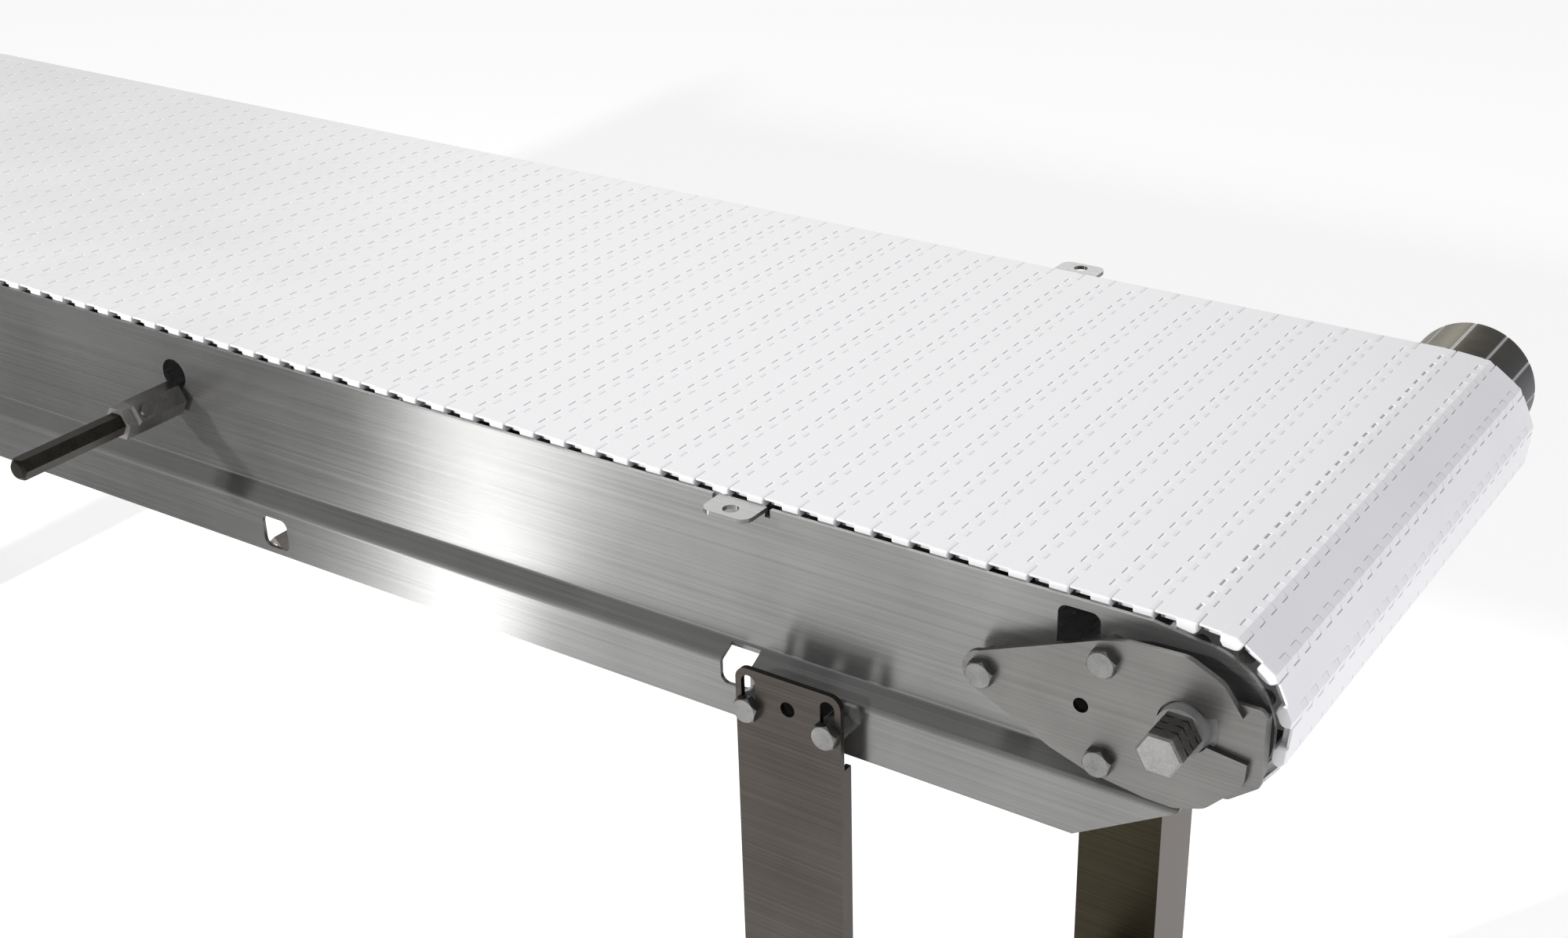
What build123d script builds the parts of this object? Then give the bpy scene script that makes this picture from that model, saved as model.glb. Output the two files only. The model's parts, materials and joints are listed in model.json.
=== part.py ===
"""Modular-belt conveyor section: a flush plastic belt on a bolted stainless frame with two leg pairs.

X runs along the conveyor and the tail is at +X, Y runs across it and the near side is at -Y, Z is up.
The origin is on the floor, under the middle of the belt. All lengths are millimetres.
"""
from build123d import *
import math
import os

NEAR, FAR = -1, 1
TAIL, DRIVE = 1, -1

# ---------------------------------------------------------------- driving dimensions
BELT_WIDTH = 457.2          # 18 inch belt
PITCH = 27.2                # hinge to hinge
TEETH = 12                  # pitches in one turn of a sprocket
STRAIGHT_ROWS = 89          # pitches between the two shafts
BELT_THICKNESS = 8.7
BELT_TOP = 900.0            # height of the carrying surface
HINGE_ROD_RADIUS = 2.4
HINGE_GROOVE = 2.55
FIRST_PIN_ANGLE = 100.0     # hinge just past the top of the tail sprocket, degrees from +X

EDGE_GAP = 3.0              # belt edge to side rail
SHEET = 3.0                 # side rails and bearing carriers
WEB_DROP = 104.5            # upright part of the side rail
LEDGE_OUT = 16.0            # how far the ledge steps outward
LEDGE_DROP = 8.5
SKIRT_DROP = 40.0
RAIL_END_RADIUS = 48.5      # rounded rail end, about the shaft
SKIRT_CUT = 67.0            # how far the skirt is cut back at its lower edge

PLATE = 4.0                 # end plates and legs
BOSS_LENGTH = 12.0          # tapped bosses that hold plates and legs off the rail
BOSS_RADIUS = 9.5
BOLT_RADIUS = 5.0           # M10
BOLT_FLATS = 17.0
BOLT_HEAD = 6.4
FIT = 0.3                   # gap kept between curved parts that move past each other
RUNNING = 0.08              # radial clearance of a running fit

SHAFT_FLATS = 25.4          # 1 inch hexagon shafts
SHAFT_BEVEL = 1.3
BUSH_RADIUS = 20.0
BUSH_NECK_RADIUS = 15.5     # part of a bush that stands out through the end plate
BUSH_NECK = 11.0
BEARING_RADIUS = 24.0
SPROCKET_YS = [-184.0, -92.0, 0.0, 92.0, 184.0]
SPROCKET_WIDTH = 24.0
TOOTH_HEIGHT = 5.0

LEG_INSET = 263.4           # middle of a leg from the shaft, along the conveyor
LEG_WIDTH = 81.0
LEG_TOP_DROP = 104.0        # top of a leg below the belt surface
LEG_BOLT_DROP = 133.0
LEG_BOLT_SPACING = 61.0
LEG_BOTTOM = 70.0
BRACE_Z = 180.0
BRACE_SIZE = 40.0
BRACE_BORE = 35.0
NEAR_FLANGE = 12.0
FAR_FLANGE = 66.0

LUG_INSET = 317.4
LUG_WIDTH = 37.0
LUG_REACH = 21.0
LUG_HOLE_REACH = 11.3       # hole centre from the web
LUG_HOLE_RADIUS = 5.5
LEG_WINDOW_INSET = 315.4
SKIRT_WINDOW_INSET = 745.4

LIFTER_INSET = 854.4        # lifter shaft from the tail shaft
LIFTER_DROP = 54.0          # lifter shaft below the belt surface
LIFTER_RADIUS = 8.0
SIGHT_HOLE_DROP = 35.5
SIGHT_HOLE_RADIUS = 12.5
LIFTER_SLEEVE_FLATS = 24.0
HANDLE_FLATS = 16.0
HANDLE_REACH = 387.5        # tip of the lifter handle, from the middle of the belt

CARRY_BAR_XS = [-1050.0, -630.0, -210.0, 210.0, 630.0, 1050.0]
WEAR_STRIP_YS = [-160.0, -80.0, 0.0, 80.0, 160.0]
CROSS_MEMBER_XS = [-918.0, -459.0, 459.0, 918.0]
CROSS_MEMBER_LEG = 14.0
ROLLER_RADIUS = 15.0
ROLLER_YS = [-150.0, 0.0, 150.0]

COVER_RADIUS = 48.0         # round cover over the far end of the tail shaft
COVER_WALL = 2.5
COVER_INSET = 10.0          # its middle is inward of the shaft and a little above it
COVER_RISE = 4.6
COVER_REACH = 66.4          # its face, from the belt edge
COVER_GROOVES = 12
COVER_SCREW_CIRCLE = 37.0
GEARBOX_STANDOFF = 8.0      # raised pad that keeps the gearbox clear of the plate bolts
GEARBOX_PAD_RADIUS = 34.0
GEARBOX_DEPTH = 62.0
GEARBOX_HALF = 52.0
MOTOR_RADIUS = 45.0
SLEEVE_RADIUS = 21.0

# bolts and corners of an end plate: distance from the shaft towards the middle, and height over the shaft
END_BOLTS = [(131, -5), (51, 28), (51, -40.5)]
END_PLATE_CORNERS = [(55, 40.5), (38, 44.8), (0, 46), (-22, 35.5), (-36, 16), (-39.5, -11), (-38.5, -27),
                     (-16, -50.5), (3, -57), (22, -56.5), (60, -51), (84, -43)]
END_PLATE_HOLE = (65, -7)
END_SLOT_CORNERS = [(0, 8), (-7, 8), (-48, 22), (-48, -13), (-8, -8), (0, -8)]
CARRIER_CORNERS = [(23, 24), (-47, 24), (-47, -27), (-28, -42), (23, -42)]

# ---------------------------------------------------------------- derived places
HALF_PITCH_ANGLE = math.pi / TEETH
PITCH_RADIUS = PITCH / (2 * math.sin(HALF_PITCH_ANGLE))
RUN_HEIGHT = PITCH_RADIUS * math.sin(math.radians(FIRST_PIN_ANGLE))
SHAFT_X = STRAIGHT_ROWS * PITCH / 2
SHAFT_Z = BELT_TOP - BELT_THICKNESS / 2 - RUN_HEIGHT
CARRY_UNDERSIDE = BELT_TOP - BELT_THICKNESS
RETURN_UNDERSIDE = SHAFT_Z - RUN_HEIGHT - BELT_THICKNESS / 2
SPROCKET_TIP = PITCH_RADIUS * math.cos(HALF_PITCH_ANGLE) - BELT_THICKNESS / 2 - 2 * FIT
SPROCKET_ROOT = SPROCKET_TIP - TOOTH_HEIGHT

BELT_EDGE = BELT_WIDTH / 2
WEB_IN = BELT_EDGE + EDGE_GAP
WEB_OUT = WEB_IN + SHEET
SKIRT_OUT = WEB_OUT + LEDGE_OUT
SKIRT_IN = SKIRT_OUT - SHEET
END_PLATE_IN = WEB_OUT + BOSS_LENGTH
END_PLATE_OUT = END_PLATE_IN + PLATE
RAIL_TOP = BELT_TOP - 3.0
LEDGE_TOP = RAIL_TOP - WEB_DROP
SKIRT_TOP = LEDGE_TOP - LEDGE_DROP
RAIL_BOTTOM = SKIRT_TOP - SKIRT_DROP
LEG_TOP = BELT_TOP - LEG_TOP_DROP
LEG_IN = SKIRT_OUT + BOSS_LENGTH
LEG_OUT = LEG_IN + PLATE
LEG_BOLT_Z = BELT_TOP - LEG_BOLT_DROP
LIFTER_Z = BELT_TOP - LIFTER_DROP
LEG_X = SHAFT_X - LEG_INSET
LUG_X = SHAFT_X - LUG_INSET
LEG_WINDOW_X = SHAFT_X - LEG_WINDOW_INSET
SKIRT_WINDOW_X = SHAFT_X - SKIRT_WINDOW_INSET
LIFTER_X = SHAFT_X - LIFTER_INSET
COVER_X = SHAFT_X - COVER_INSET
COVER_Z = SHAFT_Z + COVER_RISE
ROLLER_Z = RETURN_UNDERSIDE - FIT - ROLLER_RADIUS
CROSS_RIDGE_Z = ROLLER_Z - ROLLER_RADIUS - 1.5
SHAFT_NEAR_END = -(SKIRT_OUT + 34.5)
COVER_OUT = BELT_EDGE + COVER_REACH
GEARBOX_IN = END_PLATE_OUT + GEARBOX_STANDOFF
GEARBOX_OUT = GEARBOX_IN + GEARBOX_DEPTH


# ---------------------------------------------------------------- small helpers
def side_slab(outline, y_from, y_to):
    """Solid with an X-Z outline, filled between two Y planes."""
    low, high = min(y_from, y_to), max(y_from, y_to)
    face = Plane(origin=(0, low, 0), x_dir=(1, 0, 0), z_dir=(0, -1, 0)) * outline
    return extrude(face, amount=-(high - low))


def cross_rod(radius, x, z, y_from, y_to):
    """Round bar across the conveyor."""
    return side_slab(Pos(x, z) * Circle(radius), y_from, y_to)


def cross_hex(flats, x, z, y_from, y_to, turn=0.0):
    """Hexagonal bar across the conveyor."""
    hexagon = Rot(0, 0, turn) * RegularPolygon(flats / 2, 6, major_radius=False)
    return side_slab(Pos(x, z) * hexagon, y_from, y_to)


def block(x_from, x_to, y_from, y_to, z_from, z_to):
    """Box given by its limits."""
    size = (abs(x_to - x_from), abs(y_to - y_from), abs(z_to - z_from))
    return Pos((x_from + x_to) / 2, (y_from + y_to) / 2, (z_from + z_to) / 2) * Box(*size)


def filled(*points):
    """Closed polygon face."""
    return make_face(Polyline(*points, close=True))


def rounded(face, radius, corners=None):
    """Polygon face with some or all of its corners rounded."""
    vertices = face.vertices()
    if corners is not None:
        vertices = [min(vertices, key=lambda v, c=c: math.dist((v.X, v.Y), c)) for c in corners]
    return fillet(vertices, radius)


def save(name, shape):
    """Write one named node, which may hold several separate solids."""
    shapes = shape if isinstance(shape, list) else [shape]
    pieces = [solid for item in shapes for solid in item.solids()]
    result = pieces[0] if len(pieces) == 1 else Compound(children=pieces)
    result.label = name
    export_step(result, os.path.join("parts", name + ".step"))


def hex_bolt(x, z, y_seat, side, shank):
    """Hexagon-head bolt across the conveyor whose head bears on the plane y_seat."""
    outer_radius = BOLT_FLATS / math.sqrt(3) + 0.15
    face_radius = BOLT_FLATS / 2 - 0.25
    envelope = cross_rod(outer_radius, x, z, y_seat, y_seat + side * BOLT_HEAD)
    rims = envelope.edges().filter_by(GeomType.CIRCLE).sort_by(Axis.Y)
    crown = chamfer(rims[-1] if side > 0 else rims[0], outer_radius - face_radius)
    head = crown & cross_hex(BOLT_FLATS, x, z, y_seat, y_seat + side * BOLT_HEAD, turn=15)
    return head + cross_rod(BOLT_RADIUS, x, z, y_seat, y_seat - side * shank)


# ---------------------------------------------------------------- belt
def belt_row():
    """One row: a slab that reaches from hinge to hinge, with grooves for the hinge rods."""
    half = PITCH / 2 - 0.2
    top = BELT_THICKNESS / 2
    relief = 1.6
    outline = filled((-half, top), (half, top), (half, 0), (half - relief, -top),
                     (-half + relief, -top), (-half, 0))
    for edge in (-1, 1):
        outline -= Pos(edge * PITCH / 2, 0) * Circle(HINGE_GROOVE)
    return side_slab(outline, -BELT_EDGE, BELT_EDGE)


def wrap_pins(centre_x, first_angle):
    """Hinge places of one half turn about a shaft, clockwise seen from the near side."""
    angles = [math.radians(first_angle - 360.0 / TEETH * k) for k in range(TEETH // 2 + 1)]
    return [(centre_x + PITCH_RADIUS * math.cos(a), SHAFT_Z + PITCH_RADIUS * math.sin(a)) for a in angles]


def run_pins(start, direction):
    """Hinge places of one straight run."""
    return [(start[0] + direction * PITCH * k, start[1]) for k in range(STRAIGHT_ROWS + 1)]


def rows_between(pins):
    """Belt rows laid from each hinge to the next, with the carrying face outward."""
    row = belt_row()
    rows = []
    for (x0, z0), (x1, z1) in zip(pins, pins[1:]):
        turn = -math.degrees(math.atan2(z1 - z0, x1 - x0))
        rows.append(Pos((x0 + x1) / 2, 0, (z0 + z1) / 2) * Rot(0, turn, 0) * row)
    return rows


def make_belt():
    tail_pins = wrap_pins(SHAFT_X, FIRST_PIN_ANGLE)
    drive_pins = wrap_pins(-SHAFT_X, FIRST_PIN_ANGLE - 180)
    carry_pins = run_pins(drive_pins[-1], 1)
    return_pins = run_pins(tail_pins[-1], -1)
    save("belt_carrying_rows", rows_between(carry_pins))
    save("belt_tail_rows", rows_between(tail_pins))
    save("belt_return_rows", rows_between(return_pins))
    save("belt_drive_rows", rows_between(drive_pins))
    rod = cross_rod(HINGE_ROD_RADIUS, 0, 0, -BELT_EDGE + 4, BELT_EDGE - 4)
    pins = carry_pins[:-1] + tail_pins[:-1] + return_pins[:-1] + drive_pins[:-1]
    save("belt_hinge_rods", [Pos(x, 0, z) * rod for x, z in pins])


# ---------------------------------------------------------------- side rails
def rail_profile():
    """Y-Z section of the far rail: upright web, sloping ledge and skirt, bent from one sheet."""
    slope = math.atan2(LEDGE_DROP, LEDGE_OUT)
    shift = SHEET * math.tan((math.pi / 2 - slope) / 2)
    outer = [(WEB_OUT, RAIL_TOP), (WEB_OUT, LEDGE_TOP), (SKIRT_OUT, SKIRT_TOP), (SKIRT_OUT, RAIL_BOTTOM)]
    inner = [(SKIRT_IN, RAIL_BOTTOM), (SKIRT_IN, SKIRT_TOP - shift), (WEB_IN, LEDGE_TOP - shift),
             (WEB_IN, RAIL_TOP)]
    profile = filled(*outer, *inner)
    profile = rounded(profile, 2.0, [outer[1], inner[1]])
    return rounded(profile, 5.0, [outer[2], inner[2]])


def rail_side_view():
    """X-Z outline of a rail: rounded about the shafts, with a skirt cut up towards both ends."""
    top_end = SHAFT_X - 30
    low_end = SHAFT_X - SKIRT_CUT
    shoulder = SHAFT_Z + RAIL_END_RADIUS
    outline = filled((-top_end, RAIL_TOP), (top_end, RAIL_TOP), (SHAFT_X, shoulder), (SHAFT_X, SKIRT_TOP),
                     (low_end, RAIL_BOTTOM), (-low_end, RAIL_BOTTOM), (-SHAFT_X, SKIRT_TOP),
                     (-SHAFT_X, shoulder))
    for end in (TAIL, DRIVE):
        outline += Pos(end * SHAFT_X, SHAFT_Z) * Circle(RAIL_END_RADIUS)
    return outline


def rail_cuts(side):
    """Openings of one rail."""
    beyond = side * (SKIRT_OUT + 5)
    behind_web = side * (WEB_IN - 5)
    before_web = side * (WEB_OUT + 1)
    cuts = []
    for end in (TAIL, DRIVE):
        cuts.append(cross_rod(BEARING_RADIUS + 4, end * SHAFT_X, SHAFT_Z, behind_web, beyond))
        web_window = Pos(end * (SHAFT_X - 76), BELT_TOP - 26) * rounded(Rectangle(28, 34), 6.0)
        cuts.append(side_slab(web_window, behind_web, before_web))
        leg_window = Pos(end * LEG_WINDOW_X, BELT_TOP - 119) * rounded(Rectangle(24, 28), 6.0)
        cuts.append(side_slab(leg_window, side * (WEB_OUT + 2), beyond))
        skirt_window = Pos(end * SKIRT_WINDOW_X, BELT_TOP - 138) * rounded(Rectangle(26, 26), 6.0)
        cuts.append(side_slab(skirt_window, side * (SKIRT_IN - 1), beyond))
        for edge in (-1, 1):
            notch_x = end * LUG_X + edge * (LUG_WIDTH / 2 + 2.0)
            cuts.append(block(notch_x - 2, notch_x + 2, behind_web, before_web, RAIL_TOP - 6, RAIL_TOP + 1))
    sight_z = BELT_TOP - SIGHT_HOLE_DROP
    cuts.append(cross_rod(SIGHT_HOLE_RADIUS, LIFTER_X, sight_z, behind_web, before_web))
    cuts.append(cross_rod(LIFTER_RADIUS + RUNNING, LIFTER_X, LIFTER_Z, behind_web, before_web))
    return cuts


def lug(x, side):
    """Pierced tab bent outward from the top of the web."""
    tab = rounded(Rectangle(LUG_WIDTH, LUG_REACH), 8.0,
                  [(-LUG_WIDTH / 2, side * LUG_REACH / 2), (LUG_WIDTH / 2, side * LUG_REACH / 2)])
    tab -= Pos(0, side * (LUG_HOLE_REACH - LUG_REACH / 2)) * Circle(LUG_HOLE_RADIUS)
    return Pos(x, side * (WEB_OUT + LUG_REACH / 2), RAIL_TOP - SHEET) * extrude(tab, amount=SHEET)


def make_rails():
    half_length = SHAFT_X + RAIL_END_RADIUS + 5
    section = Plane(origin=(-half_length, 0, 0), x_dir=(0, 1, 0), z_dir=(1, 0, 0)) * rail_profile()
    far_sheet = extrude(section, amount=2 * half_length)
    far_blank = far_sheet & side_slab(rail_side_view(), WEB_IN - 1, SKIRT_OUT + 1)
    blanks = {FAR: far_blank, NEAR: mirror(far_blank, about=Plane.XZ)}
    for side, name in ((NEAR, "near_side_rail"), (FAR, "far_side_rail")):
        rail = blanks[side]
        for cut in rail_cuts(side):
            rail -= cut
        for end in (TAIL, DRIVE):
            rail += lug(end * LUG_X, side)
        save(name, rail)


# ---------------------------------------------------------------- end plates
def end_place(end, inward, up):
    """X and Z of a point given from the shaft axis, inward along the conveyor and up."""
    return end * (SHAFT_X - inward), SHAFT_Z + up


def end_plate_outline(end):
    """Plate round a shaft end, with a widening slot that is open towards the end of the conveyor."""
    corners = [end_place(end, *corner) for corner in END_PLATE_CORNERS]
    bolt_in, bolt_up = END_BOLTS[0]
    lobe_low = end_place(end, bolt_in + 7, bolt_up - 12)
    lobe_top = end_place(end, bolt_in + 4, bolt_up + 13)
    face = rounded(filled(*corners, lobe_low, lobe_top), 15.0, corners)
    face += Pos(*end_place(end, bolt_in, bolt_up)) * Circle(14)
    face -= filled(*[end_place(end, *corner) for corner in END_SLOT_CORNERS])
    face -= Pos(*end_place(end, 0, 0)) * Circle(17)
    return face - Pos(*end_place(end, *END_PLATE_HOLE)) * Circle(5)


def make_end_plates():
    """Save the plates and return their bosses and bolts. A round cover stands for the far tail plate."""
    names = {(TAIL, NEAR): "near_tail_plate", (DRIVE, NEAR): "near_drive_plate",
             (DRIVE, FAR): "far_drive_plate"}
    bosses, bolts = [], []
    for (end, side), name in names.items():
        plate = side_slab(end_plate_outline(end), side * END_PLATE_IN, side * END_PLATE_OUT)
        for place in END_BOLTS:
            x, z = end_place(end, *place)
            plate -= cross_rod(BOLT_RADIUS + 0.5, x, z, side * WEB_OUT, side * (END_PLATE_OUT + 1))
            boss = cross_rod(BOSS_RADIUS, x, z, side * WEB_OUT, side * END_PLATE_IN)
            bosses.append(boss - cross_rod(BOLT_RADIUS, x, z, side * WEB_OUT, side * END_PLATE_IN))
            bolts.append(hex_bolt(x, z, side * END_PLATE_OUT, side, PLATE + BOSS_LENGTH))
        save(name, plate)
    return bosses, bolts


# ---------------------------------------------------------------- bearings
def slotted_carrier(end, side):
    """Plate behind an end plate that holds the bearing, with its outer edge bent inward."""
    y_out = side * END_PLATE_IN
    outline = rounded(filled(*[end_place(end, *corner) for corner in CARRIER_CORNERS]), 5.0)
    edge_x, edge_top = end_place(end, CARRIER_CORNERS[1][0], CARRIER_CORNERS[1][1] - 6)
    edge_low = end_place(end, CARRIER_CORNERS[2][0], CARRIER_CORNERS[2][1] + 6)[1]
    bent_edge = block(edge_x, edge_x - end * SHEET, y_out, y_out - side * 9, edge_low, edge_top)
    return side_slab(outline, y_out - side * SHEET, y_out) + bent_edge


def cover_screw_places():
    """X and Z of the three screws of the tail shaft cover."""
    angles = [math.radians(35 + 120 * k) for k in range(3)]
    return [(COVER_X + COVER_SCREW_CIRCLE * math.cos(a), COVER_Z + COVER_SCREW_CIRCLE * math.sin(a))
            for a in angles]


def round_carrier(side):
    """Disc on three standoffs that holds the far tail bearing and the cover screws."""
    disc_radius = COVER_RADIUS - COVER_WALL - 1.5
    carrier = cross_rod(disc_radius, COVER_X, COVER_Z, side * (END_PLATE_IN - SHEET), side * END_PLATE_IN)
    for x, z in cover_screw_places():
        carrier += cross_rod(5, x, z, side * WEB_OUT, side * END_PLATE_IN)
    return carrier


def bearing_set(end, side):
    """Carrier, fixed ring and the plastic bush with a hexagon bore that turns with the shaft."""
    centre = (end * SHAFT_X, SHAFT_Z)
    y_in = side * (WEB_IN + 1)
    y_mid = side * (END_PLATE_IN - SHEET)
    y_out = side * END_PLATE_IN
    carrier = round_carrier(side) if (end, side) == (TAIL, FAR) else slotted_carrier(end, side)
    carrier -= cross_rod(BUSH_RADIUS + RUNNING, *centre, y_mid - side, y_out + side)
    ring = cross_rod(BEARING_RADIUS, *centre, y_in, y_mid)
    ring -= cross_rod(BUSH_RADIUS + RUNNING, *centre, y_in, y_mid)
    neck_end = y_out + side * BUSH_NECK
    bush = cross_rod(BUSH_RADIUS, *centre, y_in, y_out) + cross_rod(BUSH_NECK_RADIUS, *centre, y_out, neck_end)
    bush -= cross_hex(SHAFT_FLATS, *centre, y_in - side, neck_end + side)
    return carrier, ring, bush


def make_bearings():
    sets = {(end, side): bearing_set(end, side) for end in (TAIL, DRIVE) for side in (NEAR, FAR)}
    save("bearing_carriers", [carrier for carrier, _, _ in sets.values()])
    save("bearing_rings", [ring for _, ring, _ in sets.values()])
    save("tail_shaft_bushes", [sets[TAIL, side][2] for side in (NEAR, FAR)])
    save("drive_shaft_bushes", [sets[DRIVE, side][2] for side in (NEAR, FAR)])


def make_tail_cover():
    """Round cover over the far end of the tail shaft, with shallow grooves along its rim."""
    y_in = WEB_OUT + 0.2
    cover = cross_rod(COVER_RADIUS, COVER_X, COVER_Z, y_in, COVER_OUT)
    cover = chamfer(cover.edges().filter_by(GeomType.CIRCLE).sort_by(Axis.Y)[-1], 1.5)
    cover -= cross_rod(COVER_RADIUS - COVER_WALL, COVER_X, COVER_Z, y_in - 1, COVER_OUT - 3)
    for k in range(COVER_GROOVES):
        angle = math.radians(360.0 / COVER_GROOVES * k + 2)
        groove_x = COVER_X + COVER_RADIUS * math.cos(angle)
        groove_z = COVER_Z + COVER_RADIUS * math.sin(angle)
        cover -= cross_rod(0.6, groove_x, groove_z, y_in - 1, COVER_OUT + 1)
    screws = []
    for x, z in cover_screw_places():
        cover -= cross_rod(3, x, z, COVER_OUT - 4, COVER_OUT + 1)
        screws.append(cross_rod(5, x, z, COVER_OUT, COVER_OUT + 3) + cross_rod(3, x, z, COVER_OUT, END_PLATE_IN))
    save("tail_shaft_cover", cover)
    save("tail_cover_screws", screws)


# ---------------------------------------------------------------- shafts and sprockets
def sprocket(centre_x, y):
    """Toothed plastic wheel with a hexagon bore and lightening holes."""
    wheel = Circle(SPROCKET_ROOT)
    tooth = filled((SPROCKET_ROOT - 1, -6), (SPROCKET_TIP, -3.5), (SPROCKET_TIP, 3.5), (SPROCKET_ROOT - 1, 6))
    for k in range(TEETH):
        wheel += Rot(0, 0, FIRST_PIN_ANGLE + 360.0 / TEETH * k) * tooth
    for k in range(6):
        wheel -= Rot(0, 0, 60 * k) * Pos(28, 0) * Circle(5.5)
    wheel -= RegularPolygon(SHAFT_FLATS / 2, 6, major_radius=False)
    return side_slab(Pos(centre_x, SHAFT_Z) * wheel, y - SPROCKET_WIDTH / 2, y + SPROCKET_WIDTH / 2)


def collar(centre_x, y):
    """Ring that keeps the middle sprocket in place along the shaft."""
    ring = cross_rod(20, centre_x, SHAFT_Z, y - 4, y + 4)
    return ring - cross_hex(SHAFT_FLATS, centre_x, SHAFT_Z, y - 5, y + 5)


def hex_shaft(centre_x, y_far):
    """Hexagon shaft with bevelled ends and shallow grooves round its near end."""
    shaft = cross_hex(SHAFT_FLATS, centre_x, SHAFT_Z, SHAFT_NEAR_END, y_far)
    shaft = chamfer([edge for face in shaft.faces().filter_by(Axis.Y) for edge in face.edges()], SHAFT_BEVEL)
    for k in range(3):
        y = SHAFT_NEAR_END + 8 + 7 * k
        groove = cross_rod(SHAFT_FLATS, centre_x, SHAFT_Z, y, y + 1.2)
        shaft -= groove - cross_rod(SHAFT_FLATS / 2 - 0.4, centre_x, SHAFT_Z, y, y + 1.2)
    return shaft


def make_shafts():
    for end, name, y_far in ((TAIL, "tail", COVER_OUT - 6), (DRIVE, "drive", GEARBOX_OUT - 4)):
        save(name + "_shaft", hex_shaft(end * SHAFT_X, y_far))
        save(name + "_sprockets", [sprocket(end * SHAFT_X, y) for y in SPROCKET_YS])
        offset = SPROCKET_WIDTH / 2 + 4
        save(name + "_shaft_collars", [collar(end * SHAFT_X, side * offset) for side in (NEAR, FAR)])


# ---------------------------------------------------------------- gearmotor
def make_gearmotor():
    """Right-angle gearbox on the far end of the drive shaft, with its motor hanging below it."""
    motor_y = (GEARBOX_IN + GEARBOX_OUT) / 2 + 8
    case_low = SHAFT_Z - 74
    case = Pos(-SHAFT_X, SHAFT_Z - 14) * rounded(Rectangle(2 * GEARBOX_HALF, 120), 12.0)
    housing = side_slab(case, GEARBOX_IN, GEARBOX_OUT)
    housing += cross_rod(GEARBOX_PAD_RADIUS, -SHAFT_X, SHAFT_Z, END_PLATE_OUT, GEARBOX_IN)
    housing -= cross_rod(SLEEVE_RADIUS + RUNNING, -SHAFT_X, SHAFT_Z, END_PLATE_OUT - 1, GEARBOX_OUT + 1)
    bolts = []
    for x, z in ((-40, 32), (40, 32), (-40, -58), (40, -58)):
        place = (-SHAFT_X + x, SHAFT_Z + z)
        housing -= cross_rod(BOLT_RADIUS, *place, GEARBOX_IN - 1, GEARBOX_OUT + 1)
        bolts.append(hex_bolt(*place, GEARBOX_OUT, FAR, GEARBOX_DEPTH))
    save("gearbox_housing", housing)
    save("gearbox_bolts", bolts)
    sleeve = cross_rod(SLEEVE_RADIUS, -SHAFT_X, SHAFT_Z, GEARBOX_IN + 0.5, GEARBOX_OUT - 0.5)
    sleeve -= cross_hex(SHAFT_FLATS, -SHAFT_X, SHAFT_Z, GEARBOX_IN, GEARBOX_OUT)
    save("gearbox_output_sleeve", sleeve)

    flange = Pos(-SHAFT_X, motor_y, case_low - 5) * Cylinder(48, 10)
    body = Pos(-SHAFT_X, motor_y, case_low - 90) * Cylinder(MOTOR_RADIUS, 160)
    fins = Circle(MOTOR_RADIUS + 1)
    for k in range(24):
        fins += Rot(0, 0, 15 * k + 7.5) * Pos(MOTOR_RADIUS + 2, 0) * Rectangle(8, 2)
    finned = Pos(-SHAFT_X, motor_y, case_low - 150) * extrude(fins, amount=130)
    save("motor_housing", flange + body + finned)
    cover = Pos(-SHAFT_X, motor_y, case_low - 185) * Cylinder(MOTOR_RADIUS + 4, 30)
    save("motor_end_cover", fillet(cover.edges().filter_by(GeomType.CIRCLE).sort_by(Axis.Z)[0], 8))
    box_in = motor_y + MOTOR_RADIUS + 6
    terminal_box = block(-SHAFT_X - 38, -SHAFT_X + 38, box_in, HANDLE_REACH, case_low - 130, case_low - 45)
    save("motor_terminal_box", fillet(terminal_box.edges(), 4))


# ---------------------------------------------------------------- carryway and return way
def make_carryway():
    strip_top = CARRY_UNDERSIDE
    strip_low = strip_top - 20
    bars = [block(x - 3, x + 3, -WEB_IN, WEB_IN, strip_low - 35, strip_low) for x in CARRY_BAR_XS]
    save("carryway_bars", bars)
    strip_end = SHAFT_X - SPROCKET_TIP - 24
    profile = rounded(Rectangle(14, 20), 2.0)
    plane = Plane(origin=(-strip_end, 0, (strip_top + strip_low) / 2), x_dir=(0, 1, 0), z_dir=(1, 0, 0))
    strip = extrude(plane * profile, amount=2 * strip_end)
    save("wear_strips", [Pos(0, y, 0) * strip for y in WEAR_STRIP_YS])


def cross_member(x):
    """Angle bar laid ridge up across the rails, so that nothing stays lying on it."""
    drop = CROSS_MEMBER_LEG / math.sqrt(2)
    inner = SHEET * math.sqrt(2)
    outline = filled((0, 0), (drop, -drop), (drop - inner / 2, -drop - inner / 2), (0, -inner),
                     (-drop + inner / 2, -drop - inner / 2), (-drop, -drop))
    return side_slab(Pos(x, CROSS_RIDGE_Z) * outline, -SKIRT_IN, SKIRT_IN)


def roller_hanger(x, side):
    """Upright on the cross member that holds one end of a return rod."""
    half = 9
    top = ROLLER_Z + half
    outline = rounded(filled((x - half, top), (x + half, top), (x + half, CROSS_RIDGE_Z - half),
                             (x, CROSS_RIDGE_Z), (x - half, CROSS_RIDGE_Z - half)),
                      5.0, [(x - half, top), (x + half, top)])
    hanger = side_slab(outline, side * 216, side * 220)
    return hanger - cross_rod(5, x, ROLLER_Z, side * 215, side * 221)


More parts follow.
